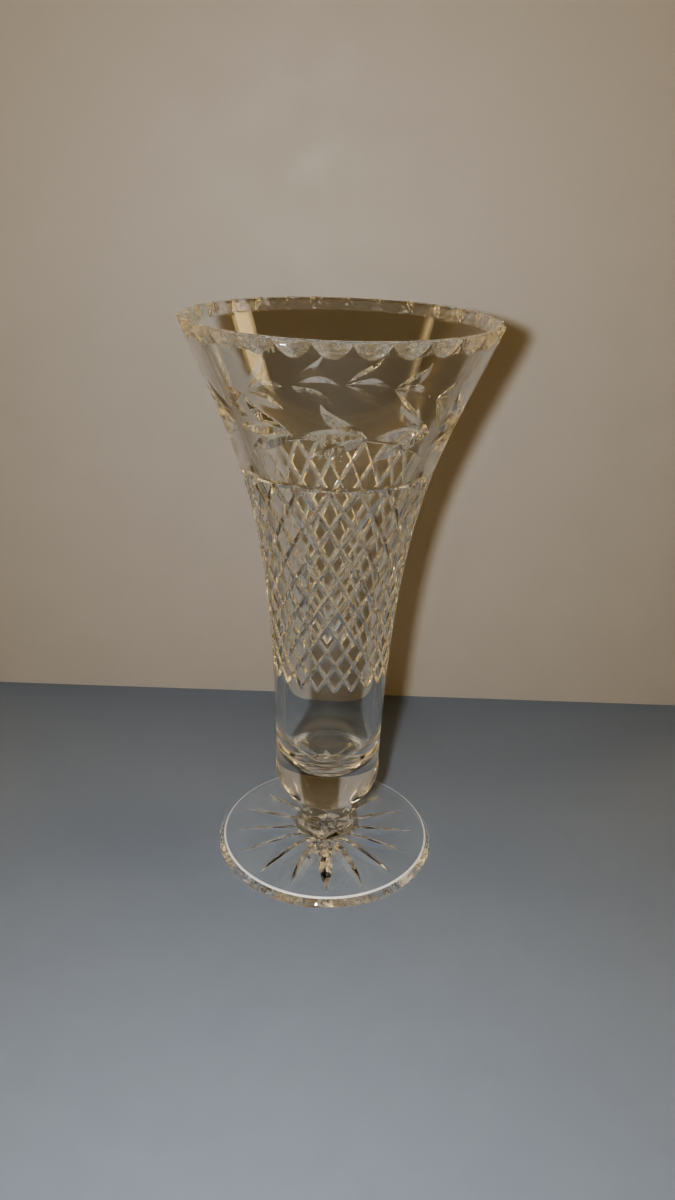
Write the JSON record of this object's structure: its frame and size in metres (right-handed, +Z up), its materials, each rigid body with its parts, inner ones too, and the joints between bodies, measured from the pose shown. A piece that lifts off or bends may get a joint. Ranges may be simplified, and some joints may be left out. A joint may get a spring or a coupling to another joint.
{
  "type": "footed flower vase",
  "caption": "Tall trumpet-shaped cut-glass flower vase on a round star-cut foot, with a bevel-scalloped rim, a leaf garland and a diamond-cut body.",
  "frame": {"origin": "centre of the foot's resting face, on the surface the vase stands on", "axes": "+Z up along the vase's axis of revolution; X and Y are level and equivalent"},
  "size_m": [0.1527, 0.1527, 0.3],
  "materials": {
    "cut_crystal": "clear lead crystal, fire-polished outside and inside, with polished mitre cuts",
    "plain_crystal": "clear lead crystal, fire-polished and uncut",
    "foot_crystal": "clear lead crystal, polished top, bevelled edge, star cut underneath, fine wear ring where it stands"
  },
  "bodies": {
    "root": {"bowl": "cut_crystal", "neck": "plain_crystal", "foot": "foot_crystal"}
  },
  "joints": []
}
